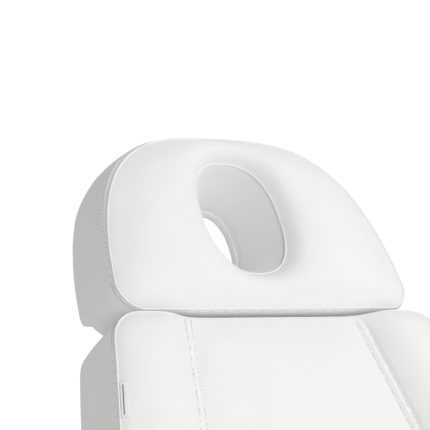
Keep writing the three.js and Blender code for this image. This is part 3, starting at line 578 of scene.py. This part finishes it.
def upholster_headrest():
    outer, normal, points, faces, marks = headrest_rings()
    count = len(outer)
    face = np.arange(len(points)) < marks["rim"] * count
    rim_points = points[marks["rim"] * count : (marks["rim"] + 1) * count, :2] - (0, HEAD_BASE_Y)
    places = points[face, :2] - (0, HEAD_BASE_Y)
    from_edge = np.array([np.min(np.hypot(*(outer - place).T)) for place in places])
    from_rim = np.array([np.min(np.hypot(*(rim_points - place).T)) for place in places])
    softness = np.zeros(len(points))
    softness[face] = np.clip(from_edge / 0.02, 0, 1) * np.clip((from_rim - 0.004) / 0.02, 0, 1)
    wave = ripple(points[face], 11.0, 3.1) * 0.0014 + ripple(points[face], 34.0, 7.7) * 0.0005
    points[face, 2] += wave * softness[face]
    points = puff(points, faces, softness)
    shape = build_mesh("headrest_upholstery", points, faces, BACK, "headrest", WHITE_LEATHER)
    # the hole's wall takes the darker leather, painted shade of the deep hole
    shape.data.materials.append(HOLE_WALL_SHADE_LEATHER)
    for index in range((marks["rim"] + 1) * count, marks["wall_end"] * count):
        shape.data.polygons[index].material_index = 1
    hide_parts("headrest_cushion", "headrest_board")

    def loop(flat, height):
        made = np.column_stack([flat, np.broadcast_to(height, len(flat))])
        made[:, 1] += HEAD_BASE_Y
        return made

    front_edge = loop(outer + normal * WELT_OUT, HEAD_WELT_Z + WELT_UP)
    tube("headrest_front_welt", front_edge, WELT_RADIUS, BACK, "headrest")
    back_outer = outer + (0, -HEAD_LEAN)
    under = head_back(back_outer[:, 1])
    tube("headrest_back_welt", loop(back_outer, under), WELT_RADIUS, BACK, "headrest")
    side = np.column_stack([normal, np.zeros(count)])
    row_outline = outer + normal * (head_side(outer, ROW_T) + ROW_LIFT)
    row = loop(row_outline, HEAD_WELT_Z + (under - HEAD_WELT_Z) * ROW_T)
    stitches("headrest_gusset_stitching", row, side, BACK, "headrest")
    rim = points[marks["rim"] * count : (marks["rim"] + 1) * count]
    inward = np.column_stack([-outward(rim[:, :2]), np.full(count, 0.25)])
    tube("breathing_hole_welt", rim + inward * WELT_UP, HOLE_WELT_RADIUS, BACK, "headrest")
    below = points[(marks["rim"] + 1) * count : (marks["rim"] + 2) * count]
    stitches("breathing_hole_stitching", below + inward * ROW_LIFT, inward, BACK, "headrest")
    near_back = points[(marks["wall_end"] - 2) * count : (marks["wall_end"] - 1) * count]
    tube("breathing_hole_back_seam", near_back + inward * ROW_LIFT, HOLE_WELT_RADIUS, BACK, "headrest")
    depth = np.linspace(0.03, 0.97, 24)
    out = np.array([side_swell(t, HEAD_SWELL - HEAD_FLAT) + HEAD_LEAN * t for t in depth]) - ROW_LIFT
    height = HEAD_WELT_Z + (head_back(0.0) - HEAD_WELT_Z) * depth
    seam = np.column_stack([np.full(len(depth), HEAD_JOIN_X), HEAD_BASE_Y - out, height])
    tube("headrest_gusset_join", seam, JOIN_RADIUS, BACK, "headrest", closed=False)


# ------------------------------------------------------------------ slab cushions

def rounded_loop(corners, radii, samples=12):
    """A counter-clockwise outline with its outward corners rounded, and each rounding's middle."""
    points, middles = [], []
    total = len(corners)
    radii = np.broadcast_to(radii, total)
    for index in range(total):
        corner = np.array(corners[index], float)
        back = np.array(corners[index - 1], float) - corner
        ahead = np.array(corners[(index + 1) % total], float) - corner
        back /= np.linalg.norm(back)
        ahead /= np.linalg.norm(ahead)
        if ahead[0] * back[1] - ahead[1] * back[0] < 0.3:
            points.append(corner)
            continue
        half = math.acos(float(back @ ahead)) / 2
        inward = (back + ahead) / np.linalg.norm(back + ahead) * radii[index] / math.sin(half)
        start = back * radii[index] / math.tan(half) - inward
        sweep = math.pi - 2 * half
        for step in range(samples + 1):
            angle = sweep * step / samples
            turned = (
                start[0] * math.cos(angle) - start[1] * math.sin(angle),
                start[0] * math.sin(angle) + start[1] * math.cos(angle),
            )
            points.append(corner + inward + turned)
            if step == samples // 2:
                middles.append(len(points) - 1)
    return np.array(points), middles


def four_sides(loop, middles, u, v):
    """The outline sampled as bottom, right, top and left sides between its corner middles."""
    sides = []
    for index, shares in enumerate((u, v, 1 - u[::-1], 1 - v[::-1])):
        first, last = middles[index], middles[(index + 1) % 4]
        span = loop[first : last + 1] if last > first else np.vstack([loop[first:], loop[: last + 1]])
        sides.append(sample(span, shares))
    return sides


def spacing(length, coarse, fine, centres, reach):
    """Shares from 0 to 1 that are close together near some places along a length."""
    places = [0.0]
    while places[-1] < length:
        beyond = max(0.0, min(abs(places[-1] - centre) for centre in centres) - reach)
        places.append(places[-1] + min(coarse, fine + 0.5 * beyond))
    return np.array(places) / places[-1]


def slab(
    name,
    corners,
    radius,
    edge_z,
    bottom_z,
    height,
    matrix,
    body,
    replaced,
    seams=(),
    seam_at=None,
    swell=0.004,
    lean=0.0,
    board=True,
    tight=(1.0, 1.0),
    step=None,
):
    """An upholstered pad: a shaped upper face, a swelling side panel and a flat underside.

    tight scales the swell at the foot and head ends; step is where the board ends and how thick it is.
    """
    loop, middles = rounded_loop(corners, radius)
    low, high = loop.min(0), loop.max(0)
    width, depth = high - low
    u = spacing(width, 0.009, 0.0013, [0.0, width, *(place - low[0] for place in seams)], 0.016)
    v = spacing(depth, 0.009, 0.002, [0.0, depth], 0.02)
    bottom, right, top, left = four_sides(loop, middles, u, v)
    top, left = top[::-1], left[::-1]
    a, b = u[None, :, None], v[:, None, None]
    grid = (1 - b) * bottom[None] + b * top[None] + (1 - a) * left[:, None] + a * right[:, None]
    grid -= (1 - b) * ((1 - a) * bottom[0] + a * bottom[-1]) + b * ((1 - a) * top[0] + a * top[-1])
    flat = grid.reshape(-1, 2)
    numbers = np.arange(len(flat)).reshape(len(v), len(u))
    rim = grid_rim(numbers)
    edge = flat[rim]
    dense = resample(edge, 1600)
    gap = np.array([np.min(np.hypot(*(dense - p).T)) for p in flat])
    seam_line = edge_z(flat[:, 0], flat[:, 1])
    face = np.column_stack([flat, seam_line + height(flat[:, 0], flat[:, 1], gap)])
    wave = ripple(face, 9.0, 1.3) * 0.0013 + ripple(face, 31.0, 4.2) * 0.0005
    face[:, 2] += wave * np.clip(gap / 0.03, 0, 1)
    normal = outward(edge)
    rim_z = seam_line[rim]
    slope = ((edge[:, 1] - low[1]) / depth) ** 6
    end = np.clip((np.abs(normal[:, 1]) - 0.5) / 0.4, 0, 1)
    fullness = swell * (1 - end * (1 - np.where(normal[:, 1] < 0, tight[0], tight[1])))
    under = np.full(len(flat), float(bottom_z))
    if step:
        under += step[1] * np.clip((flat[:, 1] - step[0]) / 0.008, 0, 1)
    rim_bottom = under[rim]

    def side(t):
        out = edge + normal * side_swell(t, fullness)[:, None]
        out[:, 1] -= lean * t * slope
        return np.column_stack([out, rim_z + (rim_bottom - rim_z) * t])

    points, loops, base = [face], [rim], len(face)
    for t in np.concatenate([[0.008, 0.017, 0.027, 0.038, 0.052, 0.07], np.linspace(0.1, 1, 16)[:-1]]):
        points.append(side(t))
        loops.append(base + np.arange(len(edge)))
        base += len(edge)
    hem = flat.copy()
    hem[:, 1] -= lean * ((flat[:, 1] - low[1]) / depth) ** 6
    points.append(np.column_stack([hem, under]))
    loops.append(base + rim)
    quads = grid_quads(numbers)
    faces = [quads, quads[:, ::-1] + base]
    for first, second in zip(loops, loops[1:]):
        faces.append(band_faces(first, second)[:, ::-1])
    points, faces = np.vstack(points), np.vstack(faces)
    softness = np.zeros(len(points))
    softness[: len(flat)] = np.clip((gap - 0.002) / 0.02, 0, 1)
    if seams:
        middle = np.abs(np.abs(flat[:, 0]) - seam_at(flat[:, 1]))
        softness[: len(flat)] *= np.clip((middle - STRIP) / 0.015, 0, 1)
    points = puff(points, faces, softness)
    shape = build_mesh(name, points, faces, matrix, body, WHITE_LEATHER)
    if board:
        shape.data.materials.append(SLOT_LOOK["plywood"])
        wood = (gap[quads].min(1) > 0.03) & (under[quads].max(1) < bottom_z + 1e-4)
        for index in np.nonzero(wood)[0]:
            shape.data.polygons[len(quads) + index].material_index = 1
    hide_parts(*replaced)
    seam_ring = np.column_stack([edge + normal * WELT_OUT, rim_z + WELT_UP])
    tube(f"{name}_welt", seam_ring, WELT_RADIUS, matrix, body)
    tube(f"{name}_lower_welt", side(1.0) + (0, 0, 0.001), HEM_RADIUS, matrix, body)
    row = side(ROW_T)
    row[:, :2] += normal * ROW_LIFT
    stitches(f"{name}_gusset_stitching", row, np.column_stack([normal, np.zeros(len(edge))]), matrix, body)
    return shape


def level(value):
    return lambda x, y: np.full(np.shape(x), value)


def sunk_edge(value):
    """The seat and legrest bolsters stand 16 mm over the centre panel."""
    return lambda x, y: value - 0.016 / (1 + np.exp((np.abs(x) - 0.213) / 0.010))


def plain_crown(rise, soft=0.02):
    return lambda x, y, gap: rise * (1 - np.exp(-gap / soft))


STRIP = 0.0074  # half width of the topstitched seam strips
SEAM_X = 0.195  # where the strips run, either side of the middle
TOP_SEAM_X = 0.1576  # and where they reach the backrest's top edge
PAD_HALF, PAD_CORNER, PAD_SWELL = 0.338, 0.034, 0.003  # seat, legrest and footrest


def bolster_face(seam_at, bolster_rise, panel_rise, sink):
    """Height of a bolstered cushion face over its welt: side bolsters, seam valleys, centre panel."""

    def height(x, y, gap):
        s = np.abs(x) - seam_at(y)
        outside = np.clip(s - STRIP, 0, None)
        inside = np.clip(-s - STRIP, 0, None)
        bolster = sink + (bolster_rise - sink) * (1 - np.exp(-((outside / 0.02) ** 0.75)))
        panel = sink + (panel_rise - sink) * (1 - np.exp(-inside / 0.03))
        made = np.where(s > 0, bolster, panel)
        made += 0.0007 * np.exp(-((s / 0.0024) ** 2)) - 0.0014 * np.exp(-(((s - STRIP) / 0.0026) ** 2))
        made -= 0.0012 * np.exp(-(((s + STRIP) / 0.005) ** 2))
        return made * (1 - np.exp(-gap / 0.013))

    return height


def seam_rows(name, shape, seam_at, y0, y1, matrix, body):
    """Two rows of topstitching on each seam strip, laid on the finished face."""
    surface = surface_of(shape)
    y = np.linspace(y0, y1, 200)
    for side, label in ((-1, "left"), (1, "right")):
        for offset, row in ((-0.0062, "inner"), (0.0056, "outer")):
            x = side * (seam_at(y) + offset)
            path, normals = drape(np.column_stack([x, y, np.full(200, 0.7)]), surface, matrix)
            stitches(f"{name}_{label}_{row}_row", path, normals, matrix, body, closed=False)


# The backrest leans back toward its top edge, more in the centre panel than along the bolsters.
BACK_END, SHOULDER, HALF = 0.5992, 0.400, 0.340
SHOULDER_HALF, BACK_TOP_HALF = 0.347, 0.295


def back_seam(y):
    return SEAM_X - (SEAM_X - TOP_SEAM_X) * np.clip((y - SHOULDER) / (BACK_END - SHOULDER), 0, 1)


def back_edge_z(x, y):
    from_top = BACK_END - y
    inside = 1 / (1 + np.exp((np.abs(x) - back_seam(y) - 0.022) / 0.013))
    sunk = 0.027 - 0.004 * np.exp(-from_top / 0.07)
    return 0.024 - 0.006 * np.exp(-from_top / 0.07) - sunk * inside


def upholster_backrest():
    corners = [
        (-HALF, 0.0145),
        (HALF, 0.0145),
        (SHOULDER_HALF, SHOULDER),
        (BACK_TOP_HALF, BACK_END),
        (-BACK_TOP_HALF, BACK_END),
        (-SHOULDER_HALF, SHOULDER),
    ]
    height = bolster_face(back_seam, 0.010, 0.005, 0.001)
    shape = slab(
        "backrest_upholstery",
        corners,
        [0.056, 0.056, 0, 0.078, 0.056, 0],
        back_edge_z,
        -0.0795,
        height,
        BACK,
        "backrest",
        ["backrest_cushion", "backrest_board"],
        seams=[-SEAM_X, -0.181, 0.181, SEAM_X],
        seam_at=back_seam,
        swell=0.0075,
        lean=0.012,
        tight=(0.1, 0.2),
    )
    seam_rows("backrest", shape, back_seam, 0.018, BACK_END - 0.002, BACK, "backrest")
    sew_tag(shape)


def sew_tag(shape):
    """A blank woven label caught in the left side seam."""
    width, low, high = 0.0098, 0.440, 0.493
    across, along = np.meshgrid(np.linspace(0.0, width, 8), np.linspace(low, high, 24))
    left = -np.interp(along, [SHOULDER, BACK_END], [SHOULDER_HALF, BACK_TOP_HALF])
    start = np.column_stack([(left + across + 0.0015).ravel(), along.ravel(), np.full(across.size, 0.7)])
    top, normals = drape(start, surface_of(shape), BACK)
    lift = 0.0007 + 0.0012 * (across.ravel() / width) ** 2
    upper = top + normals * lift[:, None]
    lower = upper - normals * 0.0005
    rows, columns = across.shape
    numbers = np.arange(rows * columns).reshape(rows, columns)
    quads = grid_quads(numbers)
    rim = grid_rim(numbers)
    faces = [quads, quads[:, ::-1] + rows * columns, band_faces(rim, rim + rows * columns)[:, ::-1]]
    points, faces = np.vstack([upper, lower]), np.vstack(faces)
    tag = build_mesh("blank_woven_tag", points, faces, BACK, "backrest", TAPE)
    tag.data.materials.append(TAPE_STRIPE)
    for row in range(2, rows - 3):
        tag.data.polygons[row * (columns - 1) + 2].material_index = 1
    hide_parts("blank_tag")


def box_corners(half, low, high):
    return [(-half, low), (half, low), (half, high), (-half, high)]


def straight_seam(y):
    return np.full(np.shape(y), SEAM_X)


SEAT_REAR = 0.2315


def seat_edge_z(x, y):
    """The seat's welt dips at its rear edge, where the backrest folds down beside it."""
    return sunk_edge(0.543)(x, y) - 0.003 * np.exp((y - SEAT_REAR) / 0.03)


def upholster_seat():
    seams = [-SEAM_X, SEAM_X]
    height = bolster_face(straight_seam, 0.011, 0.005, 0.001)
    corners = box_corners(PAD_HALF, -0.2405, SEAT_REAR)
    replaced = ["seat_cushion", "seat_board"]
    shape = slab(
        "seat_upholstery",
        corners,
        PAD_CORNER,
        seat_edge_z,
        0.4397,
        height,
        SEAT,
        "seat",
        replaced,
        seams,
        straight_seam,
        swell=PAD_SWELL,
        tight=(1.0, 0.1),
        step=(0.170, 0.0158),
    )
    seam_rows("seat", shape, straight_seam, -0.236, 0.227, SEAT, "seat")


def upholster_legrest():
    seams = [-SEAM_X, SEAM_X]
    height = bolster_face(straight_seam, 0.011, 0.005, 0.001)
    corners = box_corners(PAD_HALF, -0.3465, -0.0095)
    replaced = ["legrest_cushion", "legrest_board"]
    shape = slab(
        "legrest_upholstery",
        corners,
        PAD_CORNER,
        sunk_edge(0.123),
        0.0197,
        height,
        LEG,
        "legrest",
        replaced,
        seams,
        straight_seam,
        swell=PAD_SWELL,
    )
    seam_rows("legrest", shape, straight_seam, -0.342, -0.014, LEG, "legrest")
    corners = box_corners(PAD_HALF, -0.4725, -0.3555)
    slab(
        "footrest_upholstery",
        corners,
        PAD_CORNER,
        level(0.123),
        0.0352,
        plain_crown(0.011),
        LEG,
        "footrest",
        ["footrest_cushion"],
        swell=PAD_SWELL,
        board=False,
    )


def upholster_armrests():
    for side, label in ((-1, "left"), (1, "right")):
        matrix = Matrix.Translation(pivot(f"armrest_{label}_flip"))
        matrix.translation.x = side * 0.4
        slab(
            f"armrest_{label}_upholstery",
            box_corners(0.0405, -0.3885, -0.0335),
            0.026,
            level(0.0585),
            0.0205,
            plain_crown(0.0115, 0.014),
            matrix,
            f"armrest_{label}",
            [f"armrest_pad_{label}"],
            swell=0.0025,
            board=False,
        )


upholster_headrest()
upholster_backrest()
upholster_seat()
upholster_legrest()
upholster_armrests()

# ------------------------------------------------------------------ studio and camera

def area_light(name, place, target, size, power):
    data = bpy.data.lights.new(name, "AREA")
    data.shape = "RECTANGLE"
    data.size, data.size_y = size
    data.energy = power
    lamp = bpy.data.objects.new(name, data)
    lamp.location = place
    lamp.rotation_euler = (Vector(target) - Vector(place)).to_track_quat("-Z", "Y").to_euler()
    bpy.context.scene.collection.objects.link(lamp)


def studio():
    world = bpy.data.worlds.new("studio")
    bpy.context.scene.world = world
    world.use_nodes = True
    tree = world.node_tree
    seen = node(tree, "ShaderNodeBackground", Strength=1.05)
    seen.inputs["Color"].default_value = (1, 1, 1, 1)
    fill = tree.nodes["Background"]
    fill.inputs["Color"].default_value = (1, 1, 1, 1)
    fill.inputs["Strength"].default_value = 0.54
    rays = node(tree, "ShaderNodeLightPath")
    mix = node(tree, "ShaderNodeMixShader")
    tree.links.new(rays.outputs["Is Camera Ray"], mix.inputs["Fac"])
    tree.links.new(fill.outputs["Background"], mix.inputs[1])
    tree.links.new(seen.outputs["Background"], mix.inputs[2])
    tree.links.new(mix.outputs["Shader"], tree.nodes["World Output"].inputs["Surface"])
    area_light("key", (1.85, -1.5, 3.3), (0, 0.5, 1.15), (2.0, 2.0), 41)
    area_light("front", (0.0, -2.4, 1.2), (0, 0.5, 1.25), (0.7, 0.5), 18)
    bpy.ops.mesh.primitive_circle_add(vertices=96, radius=2.4, fill_type="NGON")
    floor = bpy.context.object
    floor.name = "floor"
    made, tree, shader = new_material("floor")
    shader.inputs["Base Color"].default_value = (0.92, 0.92, 0.92, 1)
    shader.inputs["Roughness"].default_value = 0.7
    reach = node(tree, "ShaderNodeVectorMath", operation="LENGTH")
    tree.links.new(object_coords(tree), reach.inputs[0])
    fade = node(tree, "ShaderNodeMapRange", interpolation_type="SMOOTHERSTEP")
    fade.inputs["From Min"].default_value = 0.9
    fade.inputs["From Max"].default_value = 2.3
    tree.links.new(reach.outputs["Value"], fade.inputs["Value"])
    glow = node(tree, "ShaderNodeEmission", Strength=1.0)
    mix = node(tree, "ShaderNodeMixShader")
    tree.links.new(fade.outputs["Result"], mix.inputs["Fac"])
    tree.links.new(shader.outputs["BSDF"], mix.inputs[1])
    tree.links.new(glow.outputs["Emission"], mix.inputs[2])
    tree.links.new(mix.outputs["Shader"], tree.nodes["Material Output"].inputs["Surface"])
    floor.data.materials.append(made)


def camera():
    data = bpy.data.cameras.new("camera")
    data.sensor_width = 36
    data.lens = 158
    data.clip_end = 60
    made = bpy.data.objects.new("camera", data)
    bpy.context.scene.collection.objects.link(made)
    edge = BACK @ Vector((0, HEAD_BASE_Y, HEAD_WELT_Z))
    made.location = edge + Vector((-1.722, -2.140, 0.0205))
    azimuth, elevation = math.radians(-37.0), math.radians(-2.4)
    level_x, level_y = -math.sin(azimuth), math.cos(azimuth)
    ahead = Vector((level_x * math.cos(elevation), level_y * math.cos(elevation), -math.sin(elevation)))
    made.rotation_euler = ahead.to_track_quat("-Z", "Y").to_euler()
    bpy.context.scene.camera = made


bpy.context.scene.view_settings.view_transform = "Standard"
studio()
camera()
